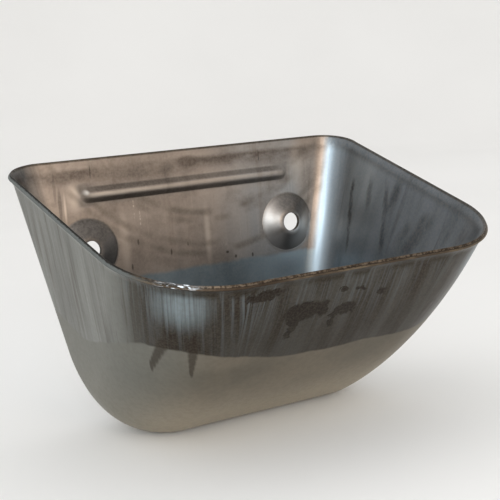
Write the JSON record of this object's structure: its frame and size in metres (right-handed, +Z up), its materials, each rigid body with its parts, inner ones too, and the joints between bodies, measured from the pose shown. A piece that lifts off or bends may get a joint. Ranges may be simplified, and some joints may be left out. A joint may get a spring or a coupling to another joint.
{
  "type": "conveyor elevator bucket",
  "caption": "Seamless pressed steel elevator bucket: open scoop with a flat back, recessed belt bolt holes, a stiffening bead and a flared rim.",
  "frame": {"origin": "on the flat back face, half way between the two bolt holes", "axes": "+Z up along the belt's rising run, +Y out of the back face towards the belt, +X to the right seen from the front"},
  "size_m": [0.1802, 0.1329, 0.1189],
  "materials": {
    "bucket": "bare drawn steel, oily, with draw streaks"
  },
  "bodies": {
    "root": {"bucket": "bucket"}
  },
  "joints": []
}
